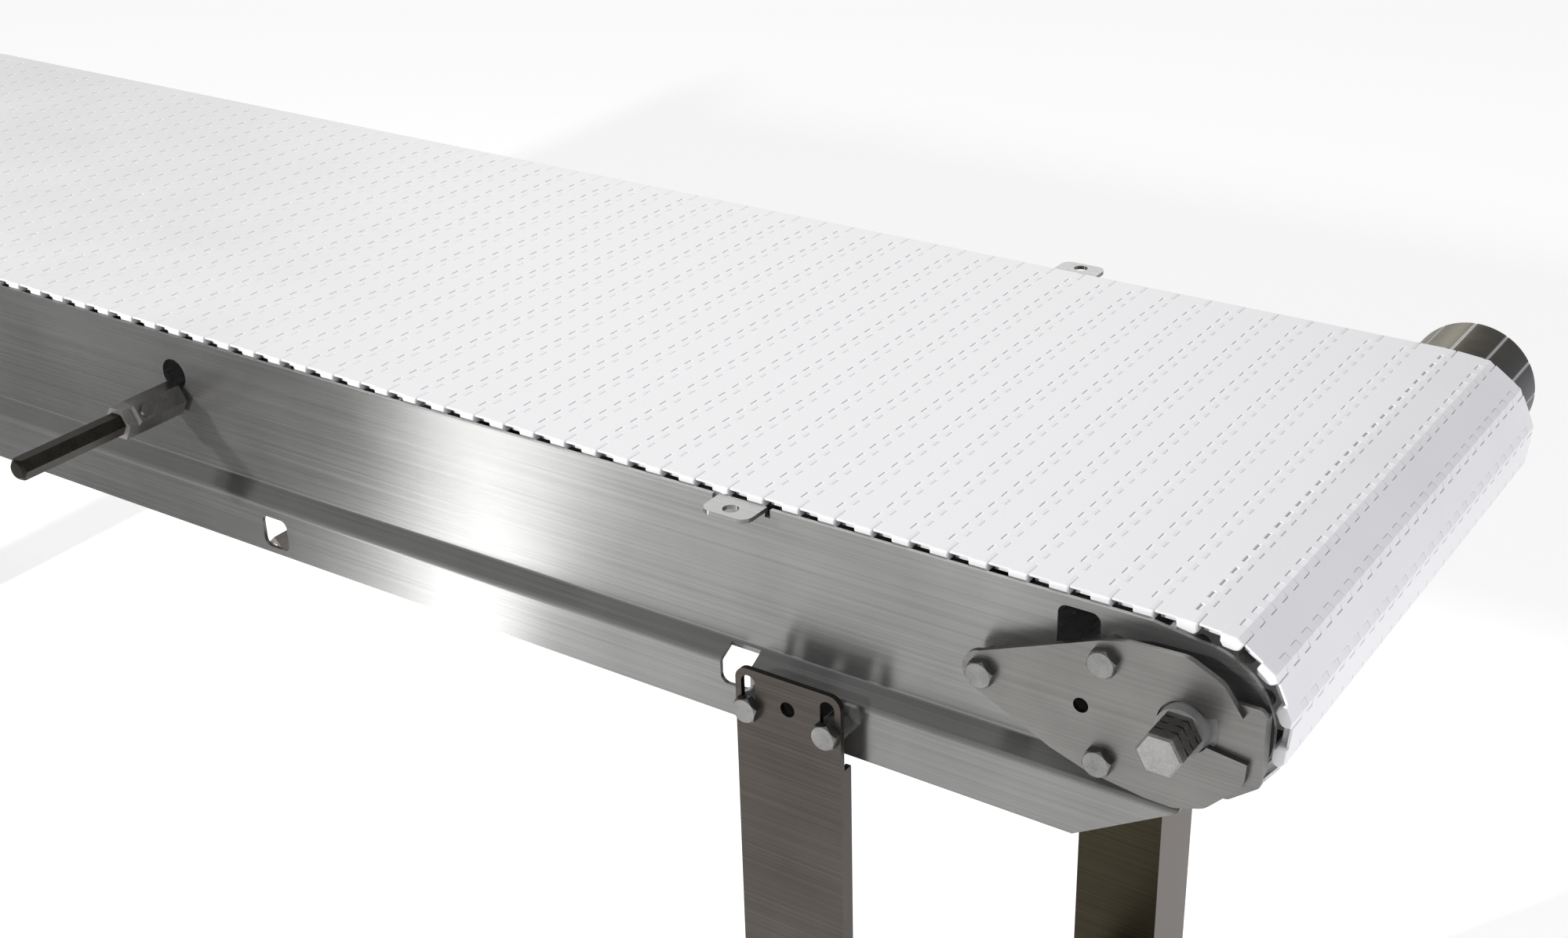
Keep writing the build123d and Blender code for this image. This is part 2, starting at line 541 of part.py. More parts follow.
def return_roller(x):
    """Three plastic wheels joined by a thin tube, turning on the return rod."""
    roller = cross_rod(8, x, ROLLER_Z, -190, 190)
    for y in ROLLER_YS:
        wheel = cross_rod(ROLLER_RADIUS, x, ROLLER_Z, y - 20, y + 20)
        roller += chamfer(wheel.edges().filter_by(GeomType.CIRCLE), 1.5)
    return roller - cross_rod(5 + RUNNING, x, ROLLER_Z, -191, 191)


def make_return_way():
    save("cross_members", [cross_member(x) for x in CROSS_MEMBER_XS])
    save("roller_hangers", [roller_hanger(x, side) for x in CROSS_MEMBER_XS for side in (NEAR, FAR)])
    save("return_rods", [cross_rod(5, x, ROLLER_Z, -222, 222) for x in CROSS_MEMBER_XS])
    for number, x in enumerate(CROSS_MEMBER_XS, start=1):
        save(f"return_roller_{number}", return_roller(x))


# ---------------------------------------------------------------- belt lifter
def lifter_paddle(y):
    """Flat arm that hangs from the lifter shaft and swings up under the belt."""
    outline = Pos(LIFTER_X, LIFTER_Z) * Circle(13)
    outline += Pos(LIFTER_X, LIFTER_Z - 17) * Rectangle(16, 34)
    outline += Pos(LIFTER_X, LIFTER_Z - 34) * Circle(8)
    outline -= Pos(LIFTER_X, LIFTER_Z) * Circle(LIFTER_RADIUS)
    return side_slab(outline, y - 4, y + 4)


def make_lifter():
    sleeve_in = -(WEB_OUT + 3)
    sleeve_out = -(BELT_EDGE + 65)
    handle_in = sleeve_out + 26
    axis = (LIFTER_X, LIFTER_Z)
    shaft_in = sleeve_in - 24
    save("lifter_shaft", cross_rod(LIFTER_RADIUS, *axis, shaft_in, WEB_OUT + 10))
    save("lifter_paddles", [lifter_paddle(y) for y in (-120, -40, 40, 120)])
    end_ring = cross_rod(14, *axis, WEB_OUT + FIT, WEB_OUT + 8)
    save("lifter_end_collar", end_ring - cross_rod(LIFTER_RADIUS, *axis, WEB_OUT, WEB_OUT + 9))
    sleeve = cross_hex(LIFTER_SLEEVE_FLATS, *axis, sleeve_out, sleeve_in)
    sleeve -= cross_rod(LIFTER_RADIUS, *axis, shaft_in, sleeve_in + 1)
    sleeve -= cross_hex(HANDLE_FLATS, *axis, sleeve_out - 1, handle_in)
    for turn in (0, 60):
        face_place = Pos(LIFTER_X, sleeve_out + 9, LIFTER_Z) * Rot(0, turn, 0) * Pos(0, 0, LIFTER_SLEEVE_FLATS / 2)
        sleeve -= face_place * Rot(45, 0, 0) * Box(40, 3.5, 3.5)
    screw_place = Pos(LIFTER_X, sleeve_out + 19, LIFTER_Z) * Rot(0, 60, 0)
    save("lifter_sleeve", sleeve - screw_place * Pos(0, 0, 10) * Cylinder(3, 4))
    save("lifter_set_screw", screw_place * (Pos(0, 0, 13.5) * Cylinder(5, 3) + Pos(0, 0, 10) * Cylinder(3, 4)))
    rod = cross_hex(HANDLE_FLATS, *axis, -HANDLE_REACH, handle_in)
    envelope = cross_rod(HANDLE_FLATS / math.sqrt(3) + 0.1, *axis, -HANDLE_REACH, handle_in)
    tip_edge = envelope.edges().filter_by(GeomType.CIRCLE).sort_by(Axis.Y)[0]
    save("lifter_handle", rod & chamfer(tip_edge, 3))


# ---------------------------------------------------------------- legs and feet
def leg(end, side):
    """Formed channel: a flat face bolted to the rail bosses, with a flange down each edge."""
    x = end * LEG_X
    half = LEG_WIDTH / 2
    face = rounded(Rectangle(LEG_WIDTH, LEG_TOP - LEG_BOTTOM), 9.0, [(-half, LEG_TOP), (half, LEG_TOP)])
    face = Pos(x, (LEG_TOP + LEG_BOTTOM) / 2) * face
    for edge in (-1, 1):
        slot = Rot(0, 0, 90) * SlotOverall(32, 11)
        face -= Pos(x + edge * LEG_BOLT_SPACING / 2, LEG_BOLT_Z + 8) * slot
    face -= Pos(x, LEG_BOLT_Z + 8) * Circle(5.5)
    channel = side_slab(face, side * LEG_IN, side * LEG_OUT)
    flange_top = RAIL_BOTTOM - 4
    flange_end = LEG_OUT - NEAR_FLANGE if side == NEAR else LEG_OUT + FAR_FLANGE
    for edge in (-1, 1):
        edge_x = x + edge * half
        flange = block(edge_x, edge_x - edge * PLATE, side * LEG_OUT if side == NEAR else LEG_IN,
                       side * flange_end, LEG_BOTTOM, flange_top)
        channel += flange
    return channel


def foot_y(side):
    """Distance of a foot from the middle of the conveyor."""
    return side * (LEG_IN - 25.0 if side == NEAR else LEG_OUT + 33.0)


def foot_plate(end, side):
    """Plate across the bottom of a leg, tapped for the foot."""
    x, y = end * LEG_X, foot_y(side)
    inner_half = LEG_WIDTH / 2 - PLATE
    y_low, y_high = (y - 25, y + 25) if side == NEAR else (LEG_OUT, y + 30)
    plate = block(x - inner_half, x + inner_half, y_low, y_high, LEG_BOTTOM, LEG_BOTTOM + 12)
    return plate - Pos(x, y, LEG_BOTTOM + 6) * Cylinder(8, 14)


def make_legs():
    """Save the legs with their foot plates and braces, and return their bosses and bolts."""
    bosses, bolts, plates, nuts = [], [], [], []
    for side, side_name in ((NEAR, "near"), (FAR, "far")):
        for end, end_name in ((TAIL, "tail"), (DRIVE, "drive")):
            save(f"{side_name}_{end_name}_leg", leg(end, side))
            plates.append(foot_plate(end, side))
            nut = Pos(end * LEG_X, foot_y(side), LEG_BOTTOM - 10) * extrude(
                RegularPolygon(12, 6, major_radius=False), amount=10)
            nuts.append(nut - Pos(end * LEG_X, foot_y(side), LEG_BOTTOM - 5) * Cylinder(8 + RUNNING, 12))
            for edge in (-1, 1):
                x = end * LEG_X + edge * LEG_BOLT_SPACING / 2
                boss = cross_rod(BOSS_RADIUS, x, LEG_BOLT_Z, side * SKIRT_OUT, side * LEG_IN)
                bosses.append(boss - cross_rod(BOLT_RADIUS, x, LEG_BOLT_Z, side * SKIRT_OUT, side * LEG_IN))
                bolts.append(hex_bolt(x, LEG_BOLT_Z, side * LEG_OUT, side, PLATE + BOSS_LENGTH))
    save("leg_foot_plates", plates)
    save("foot_lock_nuts", nuts)
    braces = []
    for end in (TAIL, DRIVE):
        tube = Rectangle(BRACE_SIZE, BRACE_SIZE) - Rectangle(BRACE_BORE, BRACE_BORE)
        braces.append(side_slab(Pos(end * LEG_X, BRACE_Z) * tube, -LEG_IN, LEG_IN))
    save("leg_cross_braces", braces)
    return bosses, bolts


def make_feet():
    """Each levelling foot has a threaded stem with a domed shoe, on a rubber pad."""
    places = [(end, side) for side in (NEAR, FAR) for end in (TAIL, DRIVE)]
    for number, (end, side) in enumerate(places, start=1):
        centre = (end * LEG_X, foot_y(side))
        stem = Pos(*centre, 16) * extrude(Circle(8 - RUNNING), amount=104)
        shoe = Pos(*centre, 11) * Cylinder(27, 10)
        shoe = fillet(shoe.edges().filter_by(GeomType.CIRCLE).sort_by(Axis.Z)[-1], 6)
        wrench_flats = Pos(*centre, 16) * extrude(RegularPolygon(9, 6, major_radius=False), amount=10)
        save(f"foot_stem_{number}", stem + shoe + wrench_flats)
        save(f"foot_pad_{number}", Pos(*centre, 3) * Cylinder(29, 6))


os.makedirs("parts", exist_ok=True)
make_belt()
make_rails()
end_bosses, end_bolts = make_end_plates()
make_bearings()
make_tail_cover()
make_shafts()
make_gearmotor()
make_carryway()
make_return_way()
make_lifter()
leg_bosses, leg_bolts = make_legs()
make_feet()
save("tapped_bosses", end_bosses + leg_bosses)
save("frame_bolts", end_bolts + leg_bolts)
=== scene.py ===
"""Looks of the belt conveyor section: a detailed belt, procedural materials, a studio and the camera.

Everything is in metres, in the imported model's own frame: X along the conveyor with the tail at +X,
Y across it with the near side at -Y, Z up, and the origin on the floor under the middle of the belt.
"""

import json
import math

import bpy
from mathutils import Matrix, Vector


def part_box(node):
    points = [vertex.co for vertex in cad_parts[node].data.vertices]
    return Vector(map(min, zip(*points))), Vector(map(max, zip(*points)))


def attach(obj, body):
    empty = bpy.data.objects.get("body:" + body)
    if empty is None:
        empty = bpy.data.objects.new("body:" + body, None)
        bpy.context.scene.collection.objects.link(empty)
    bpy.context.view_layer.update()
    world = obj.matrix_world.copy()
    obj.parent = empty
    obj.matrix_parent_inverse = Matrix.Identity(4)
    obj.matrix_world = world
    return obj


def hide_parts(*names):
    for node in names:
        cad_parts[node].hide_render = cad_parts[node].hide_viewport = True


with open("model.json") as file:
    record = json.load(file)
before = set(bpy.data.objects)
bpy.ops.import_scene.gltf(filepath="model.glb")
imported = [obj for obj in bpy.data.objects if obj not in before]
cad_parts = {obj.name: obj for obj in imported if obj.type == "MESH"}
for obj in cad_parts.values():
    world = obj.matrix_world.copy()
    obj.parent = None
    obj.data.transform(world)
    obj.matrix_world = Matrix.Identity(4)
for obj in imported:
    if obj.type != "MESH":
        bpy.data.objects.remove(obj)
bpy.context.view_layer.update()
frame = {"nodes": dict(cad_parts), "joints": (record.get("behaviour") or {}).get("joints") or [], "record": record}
NODES = frame["nodes"]
MM = 0.001

# ---------------------------------------------------------------- belt dimensions, from the frame
BELT_LOW, BELT_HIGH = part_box("belt_carrying_rows")
BELT_HALF_WIDTH = BELT_HIGH.y
HALF_THICK = (BELT_HIGH.z - BELT_LOW.z) / 2
SHAFT_X, _, SHAFT_Z = next(j["pos_m"] for j in frame["joints"] if j["name"] == "tail_shaft_spin")
PITCH = 27.2 * MM                      # hinge to hinge
STRAIGHT_ROWS = round(2 * SHAFT_X / PITCH)
TEETH = 12                             # pitches in one turn about a shaft
FIRST_PIN_ANGLE = 100.0                # hinge just past the top of the tail sprocket, degrees from +X
PITCH_RADIUS = PITCH / (2 * math.sin(math.pi / TEETH))

FINGERS = 53                           # leading and trailing fingers across one hinge, end knuckles included
FINGER_STEP = 8.4 * MM
FINGER_GAP = 0.12 * MM
PLATE_SETBACK = 4.1 * MM               # plate edge, behind the hinge line
FLAT_TIP = (3.8 * MM, 0.15 * MM)       # finger tip on the straight runs: past the hinge, below the surface
WRAP_TIP = (5.1 * MM, 2.33 * MM)       # and round the shafts, where the tips follow the next row
PLATE_LOW = 2.8 * MM                   # underside of the thin plate, above the hinge line
RIB_LOW = -2.0 * MM                    # underside of the rib below the plate
ROOT_RAMP = 1 * MM                     # where a finger's top dips into the plate, at its root
ROOT_SINK = 0.1 * MM
RIB_SETBACK = 1.7 * MM                 # rib behind the plate's edge, at each hinge
RIB_OVERLAP = 0.2 * MM                 # rib up into the plate
RIB_END_INSETS = (5 * MM, 8 * MM)      # rib ends behind the plate's ends, near and far
NEAR_SETBACK = 1.8 * MM                # plate end behind the end knuckles, on the near side
FAR_SETBACK = 0.4 * MM                 # and on the far side
KNUCKLE_BACK = 9.5 * MM                # end knuckle, from the hinge line back into the row
KNUCKLE_WIDTH = BELT_HALF_WIDTH - (FINGERS / 2 - 1) * FINGER_STEP
KNUCKLE_ROUNDING = 1.2 * MM
KNUCKLE_PROUD = 0.04 * MM              # top of the end knuckles above the plate


# ---------------------------------------------------------------- mesh helpers
def new_piece(name, vertices, faces, body, material, replaced):
    """Mesh object that rides on a body and stands for some CAD nodes."""
    mesh = bpy.data.meshes.new(name)
    mesh.from_pydata(vertices, [], faces)
    mesh.validate()
    mesh.update()
    piece = bpy.data.objects.new(name, mesh)
    bpy.context.scene.collection.objects.link(piece)
    mesh.materials.append(material)
    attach(piece, body)
    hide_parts(*replaced)
    return piece


def lofted(profile, stations):
    """Closed loft across the belt: an X-Z outline, counterclockwise seen from the near side, at each
    station of (y, size about the outline's middle)."""
    count = len(profile)
    middle_x = sum(x for x, _ in profile) / count
    middle_z = sum(z for _, z in profile) / count
    vertices = [(middle_x + size * (x - middle_x), y, middle_z + size * (z - middle_z))
                for y, size in stations for x, z in profile]
    last = len(vertices) - count
    faces = [tuple(range(count)), tuple(reversed(range(last, last + count)))]
    for ring in range(0, last, count):
        for k in range(count):
            after = (k + 1) % count
            faces.append((ring + k, ring + k + count, ring + after + count, ring + after))
    return vertices, faces


def prism(profile, y_low, y_high):
    """Closed prism across the belt."""
    return lofted(profile, [(y_low, 1.0), (y_high, 1.0)])


def arc(centre_x, centre_z, radius, start, end, steps):
    """Points of an arc, angles in degrees."""
    angles = [math.radians(start + (end - start) * k / steps) for k in range(steps + 1)]
    return [(centre_x + radius * math.cos(a), centre_z + radius * math.sin(a)) for a in angles]


# ---------------------------------------------------------------- belt
def body_profile():
    """Thin plate between the two hinge lines, with its top edges broken."""
    edge = PITCH / 2 - PLATE_SETBACK
    broken = 0.12 * MM
    return [(-edge, PLATE_LOW), (edge, PLATE_LOW), (edge, HALF_THICK - broken), (edge - broken, HALF_THICK),
            (-edge + broken, HALF_THICK), (-edge, HALF_THICK - broken)]


def rib_profile():
    """Rib under the middle of the plate, which the sprockets push on."""
    half = PITCH / 2 - PLATE_SETBACK - RIB_SETBACK
    top = PLATE_LOW + RIB_OVERLAP
    return [(-half, RIB_LOW), (half, RIB_LOW), (half, top), (-half, top)]


def hinge_outline(back, back_points, tip, top, last_angle, steps):
    """Outline of a finger or knuckle: flat on top, rounded at the tip, round about the hinge below."""
    hinge = PITCH / 2
    reach, drop = tip
    nose = 0.8 * MM
    crest = hinge + 1.1 * MM
    nose_arc = arc(hinge + reach - nose, HALF_THICK - drop - nose, nose, 75, 0, 2)
    below = arc(hinge, 0, HALF_THICK, -25, last_angle, steps)
    outline = [(back, top - ROOT_SINK), (back + ROOT_RAMP, top), (crest, top)]
    return list(reversed(outline + nose_arc + below + back_points))


def finger_profile(tip):
    """Finger at the leading hinge, rooted in the plate."""
    root = PITCH / 2 - PLATE_SETBACK - ROOT_RAMP
    return hinge_outline(root, [(root, -0.25 * HALF_THICK)], tip, HALF_THICK, -150, 3)


def knuckle_profile(tip):
    """End knuckle that closes a hinge at the belt's edge."""
    back = PITCH / 2 - KNUCKLE_BACK
    heel = [(back + 2.5 * MM, -HALF_THICK), (back + 0.4 * MM, -0.4 * HALF_THICK)]
    return hinge_outline(back, heel, tip, HALF_THICK + KNUCKLE_PROUD, -90, 3)


def mirrored(profile):
    """The same outline at the trailing hinge, wound the same way."""
    return [(-x, z) for x, z in reversed(profile)]


def knuckle_block(profile, side):
    """End knuckle with a rounded outer end."""
    outer = side * BELT_HALF_WIDTH
    stations = [(outer - side * KNUCKLE_WIDTH, 1.0), (outer - side * KNUCKLE_ROUNDING, 1.0),
                (outer - side * 0.3 * KNUCKLE_ROUNDING, 0.93), (outer, 0.82)]
    return lofted(profile, stations if side > 0 else list(reversed(stations)))


def row_mesh(tip):
    """Vertices and faces of one row about its own middle."""
    vertices, faces = [], []

    def add(more, more_faces):
        offset = len(vertices)
        vertices.extend(more)
        faces.extend([tuple(v + offset for v in face) for face in more_faces])

    near_edge = -BELT_HALF_WIDTH + NEAR_SETBACK
    far_edge = BELT_HALF_WIDTH - FAR_SETBACK
    near_inset, far_inset = RIB_END_INSETS
    add(*prism(body_profile(), near_edge, far_edge))
    add(*prism(rib_profile(), near_edge + near_inset, far_edge - far_inset))
    leading = finger_profile(tip)
    trailing = mirrored(leading)
    middle = (FINGERS - 1) / 2
    half = (FINGER_STEP - FINGER_GAP) / 2
    for k in range(1, FINGERS - 1):
        centre = (k - middle) * FINGER_STEP
        add(*prism(leading if k % 2 == 0 else trailing, centre - half, centre + half))
    for side in (-1, 1):
        add(*knuckle_block(knuckle_profile(tip), side))
    return vertices, faces


def wrap_pins(centre_x, first_angle):
    """Hinge places of one half turn about a shaft, clockwise seen from the near side."""
    angles = [math.radians(first_angle - 360.0 / TEETH * k) for k in range(TEETH // 2 + 1)]
    return [(centre_x + PITCH_RADIUS * math.cos(a), SHAFT_Z + PITCH_RADIUS * math.sin(a)) for a in angles]


def run_pins(start, direction):
    """Hinge places of one straight run."""
    return [(start[0] + direction * PITCH * k, start[1]) for k in range(STRAIGHT_ROWS + 1)]


def belt_stretch(name, pins, tip, material):
    """One stretch of belt, with a row from each hinge to the next and the carrying face outward."""
    row_vertices, row_faces = row_mesh(tip)
    vertices, faces = [], []
    for (x0, z0), (x1, z1) in zip(pins, pins[1:]):
        turn = Matrix.Rotation(-math.atan2(z1 - z0, x1 - x0), 4, "Y")
        place = Matrix.Translation(((x0 + x1) / 2, 0, (z0 + z1) / 2)) @ turn
        offset = len(vertices)
        vertices.extend([tuple(place @ Vector(v)) for v in row_vertices])
        faces.extend([tuple(v + offset for v in face) for face in row_faces])
    return new_piece("fingered_" + name, vertices, faces, "frame", material, [name])


def make_belt(material):
    tail_pins = wrap_pins(SHAFT_X, FIRST_PIN_ANGLE)
    drive_pins = wrap_pins(-SHAFT_X, FIRST_PIN_ANGLE - 180)
    belt_stretch("belt_carrying_rows", run_pins(drive_pins[-1], 1), FLAT_TIP, material)
    belt_stretch("belt_tail_rows", tail_pins, WRAP_TIP, material)
    belt_stretch("belt_return_rows", run_pins(tail_pins[-1], -1), FLAT_TIP, material)
    belt_stretch("belt_drive_rows", drive_pins, WRAP_TIP, material)


# ---------------------------------------------------------------- material helpers
def new_material(name):
    """Material with a Principled shader. Returns the material, its node tree and the shader."""
    material = bpy.data.materials.new(name)
    material.use_nodes = True
    tree = material.node_tree
    shader = next(n for n in tree.nodes if n.type == "BSDF_PRINCIPLED")
    return material, tree, shader


def stretched_place(tree, scale):
    """The piece's own coordinates in metres, scaled along each axis."""
    place = tree.nodes.new("ShaderNodeTexCoord")
    mapping = tree.nodes.new("ShaderNodeMapping")
    mapping.inputs["Scale"].default_value = scale
    tree.links.new(place.outputs["Object"], mapping.inputs["Vector"])
    return mapping.outputs["Vector"]


def noise(tree, vector, scale, detail=3.0, roughness=0.6):
    """Noise texture value."""
    texture = tree.nodes.new("ShaderNodeTexNoise")
    texture.inputs["Scale"].default_value = scale
    texture.inputs["Detail"].default_value = detail
    texture.inputs["Roughness"].default_value = roughness
    tree.links.new(vector, texture.inputs["Vector"])
    return texture.outputs["Fac"]


def ramp(tree, value, low, high, dark, light):
    """Colour between two shades, from a value between two limits."""
    node = tree.nodes.new("ShaderNodeValToRGB")
    node.color_ramp.elements[0].position = low
    node.color_ramp.elements[1].position = high
    node.color_ramp.elements[0].color = (*dark, 1)
    node.color_ramp.elements[1].color = (*light, 1)
    tree.links.new(value, node.inputs["Fac"])
    return node.outputs["Color"]


def spread(tree, value, low, high, first=0.0, last=1.0):
    """A value from first to last, mapped to low to high."""
    node = tree.nodes.new("ShaderNodeMapRange")
    node.inputs["From Min"].default_value = first
    node.inputs["From Max"].default_value = last
    node.inputs["To Min"].default_value = low
    node.inputs["To Max"].default_value = high
    tree.links.new(value, node.inputs["Value"])
    return node.outputs["Result"]


def add_bump(tree, shader, height, distance, strength):
    """Surface relief from a height value, distance in metres."""
    node = tree.nodes.new("ShaderNodeBump")
    node.inputs["Strength"].default_value = strength
    node.inputs["Distance"].default_value = distance
    tree.links.new(height, node.inputs["Height"])
    tree.links.new(node.outputs["Normal"], shader.inputs["Normal"])


def blended(tree, first, second, share):
    """Weighted mix of two values."""
    node = tree.nodes.new("ShaderNodeMix")
    node.data_type = "FLOAT"
    node.inputs["Factor"].default_value = share
    tree.links.new(first, node.inputs[2])
    tree.links.new(second, node.inputs[3])
    return node.outputs[0]


def weighted(tree, share, first, second):
    """Colour mix, where a share of 0 gives the first colour and 1 the second."""
    node = tree.nodes.new("ShaderNodeMix")
    node.data_type = "RGBA"
    tree.links.new(share, node.inputs["Factor"])
    for socket, colour in ((node.inputs[6], first), (node.inputs[7], second)):
        if isinstance(colour, tuple):
            socket.default_value = (*colour, 1)
        else:
            tree.links.new(colour, socket)
    return node.outputs[2]


def calculated(tree, operation, *values):
    """Result of a Math node, whose values are numbers or sockets."""
    node = tree.nodes.new("ShaderNodeMath")
    node.operation = operation
    for socket, value in zip(node.inputs, values):
        if isinstance(value, (int, float)):
            socket.default_value = value
        else:
            tree.links.new(value, socket)
    return node.outputs["Value"]


def own_xyz(tree):
    """X, Y and Z of the surface point, in the model's frame at rest."""
    place = tree.nodes.new("ShaderNodeTexCoord")
    parts = tree.nodes.new("ShaderNodeSeparateXYZ")
    tree.links.new(place.outputs["Object"], parts.inputs["Vector"])
    return parts.outputs["X"], parts.outputs["Y"], parts.outputs["Z"]


def normal_xyz(tree):
    """X, Y and Z of the surface normal."""
    surface = tree.nodes.new("ShaderNodeNewGeometry")
    parts = tree.nodes.new("ShaderNodeSeparateXYZ")
    tree.links.new(surface.outputs["Normal"], parts.inputs["Vector"])
    return parts.outputs["X"], parts.outputs["Y"], parts.outputs["Z"]


# ---------------------------------------------------------------- materials
GRAIN_ALONG_X = (3, 700, 700)
GRAIN_ALONG_Y = (700, 3, 700)


def brushed_metal(name, dark, light, rough, grain, anisotropy=0.8, cloud=7.0, metallic=1.0):
    """Brushed stainless: fine straight level grain, soft cloudy shade and uneven gloss.

    Its highlights are drawn out upright, across the grain. Below 1, metallic lets shadows show on it.
    """
    material, tree, shader = new_material(name)
    fine = noise(tree, stretched_place(tree, grain), 1.0, 4.0, 0.7)
    cloudy = noise(tree, stretched_place(tree, (1, 1, 1)), cloud, 3.0, 0.55)
    both = blended(tree, fine, cloudy, 0.45)
    tree.links.new(ramp(tree, both, 0.35, 0.65, dark, light), shader.inputs["Base Color"])
    tree.links.new(spread(tree, both, rough[0], rough[1]), shader.inputs["Roughness"])
    shader.inputs["Metallic"].default_value = metallic
    shader.inputs["Anisotropic"].default_value = anisotropy
    upright = tree.nodes.new("ShaderNodeCombineXYZ")
    upright.inputs["Z"].default_value = 1.0
    tree.links.new(upright.outputs["Vector"], shader.inputs["Tangent"])
    add_bump(tree, shader, fine, 0.02 * MM, 0.5)
    return material


def plain_metal(name, dark, light, rough, scale=60.0):
    """Metal with an even, slightly mottled surface."""
    material, tree, shader = new_material(name)
    place = stretched_place(tree, (1, 1, 1))
    broad = noise(tree, place, scale, 4.0, 0.6)
    mottled = blended(tree, broad, noise(tree, place, scale * 12, 2.0, 0.5), 0.4)
    tree.links.new(ramp(tree, mottled, 0.35, 0.65, dark, light), shader.inputs["Base Color"])
    tree.links.new(spread(tree, mottled, rough[0], rough[1]), shader.inputs["Roughness"])
    shader.inputs["Metallic"].default_value = 1.0
    add_bump(tree, shader, mottled, 0.03 * MM, 0.5)
    return material


def plain_plastic(name, dark, light, rough, scale=25.0):
    """Moulded or machined plastic with a faint mottle."""
    material, tree, shader = new_material(name)
    place = stretched_place(tree, (1, 1, 1))
    broad = noise(tree, place, scale, 3.0, 0.5)
    fine = noise(tree, place, 900.0, 2.0, 0.5)
    both = blended(tree, broad, fine, 0.35)
    tree.links.new(ramp(tree, both, 0.35, 0.65, dark, light), shader.inputs["Base Color"])
    tree.links.new(spread(tree, broad, rough[0], rough[1]), shader.inputs["Roughness"])
    add_bump(tree, shader, both, 0.04 * MM, 0.4)
    return material


def cover_metal():
    """Dark satin cover of the tail shaft: olive above, with painted blue-black shade towards the end and twelve
    painted bright highlight stripes round it.
    """
    material, tree, shader = new_material("dark_cover")
    low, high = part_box("tail_shaft_cover")
    centre = (low + high) / 2
    highlight_count = 12
    highlight_start = 2                   # degrees, from +X, of the first painted highlight stripe
    highlight_core = 0.012                  # half width of a painted highlight stripe and of its soft edge, in steps between stripes
    highlight_edge = 0.06
    x, _, z = own_xyz(tree)
    across = calculated(tree, "SUBTRACT", x, centre.x)
    up = calculated(tree, "SUBTRACT", z, centre.z)
    angle = calculated(tree, "ARCTAN2", up, across)
    # painted highlight: twelve bright stripes round the cover, at fixed angles from +X
    turns = calculated(tree, "SUBTRACT", calculated(tree, "MULTIPLY", angle, highlight_count / math.tau),
                       highlight_count * highlight_start / 360)
    off_highlight = calculated(tree, "ABSOLUTE", calculated(tree, "WRAP", turns, 0.5, -0.5))
    highlight_line = spread(tree, off_highlight, 1.0, 0.0, highlight_core, highlight_edge)
    # painted shade: the cover turns blue-black towards its end at +X
    side = spread(tree, calculated(tree, "DIVIDE", across, high.x - centre.x), 0.0, 1.0)
    mottled = noise(tree, stretched_place(tree, (1, 1, 1)), 90.0, 4.0, 0.6)
    olive = ramp(tree, mottled, 0.35, 0.65, (0.06, 0.052, 0.03), (0.095, 0.083, 0.05))
    shaded = weighted(tree, side, olive, (0.045, 0.046, 0.056))
    # light grey painted highlight stripes over the olive and the painted blue-black shade
    tree.links.new(weighted(tree, highlight_line, shaded, (0.6, 0.6, 0.6)), shader.inputs["Base Color"])
    tree.links.new(spread(tree, mottled, 0.3, 0.42), shader.inputs["Roughness"])
    shader.inputs["Metallic"].default_value = 1.0
    return material


def far_leg_painted_shade_metal():
    """Satin leg of the far side, with painted shade: very dark on its broad face, and painted light on its narrow
    sides, picked by the way each face points.
    """
    material, tree, shader = new_material("far_leg_painted_shade")
    grain = noise(tree, stretched_place(tree, GRAIN_ALONG_X), 1.0, 4.0, 0.7)
    # painted shade on the broad face and painted light on the narrow sides, two shaded copies of one satin steel
    broad = ramp(tree, grain, 0.3, 0.7, (0.028, 0.024, 0.014), (0.048, 0.041, 0.026))
    narrow = ramp(tree, grain, 0.3, 0.7, (0.11, 0.096, 0.085), (0.17, 0.15, 0.135))
    # the normal's X picks the painted light of the narrow sides over the painted shade of the broad face
    side = calculated(tree, "ABSOLUTE", normal_xyz(tree)[0])
    tree.links.new(weighted(tree, side, broad, narrow), shader.inputs["Base Color"])
    tree.links.new(spread(tree, grain, 0.34, 0.46), shader.inputs["Roughness"])
    shader.inputs["Metallic"].default_value = 1.0
    add_bump(tree, shader, grain, 0.02 * MM, 0.5)
    return material


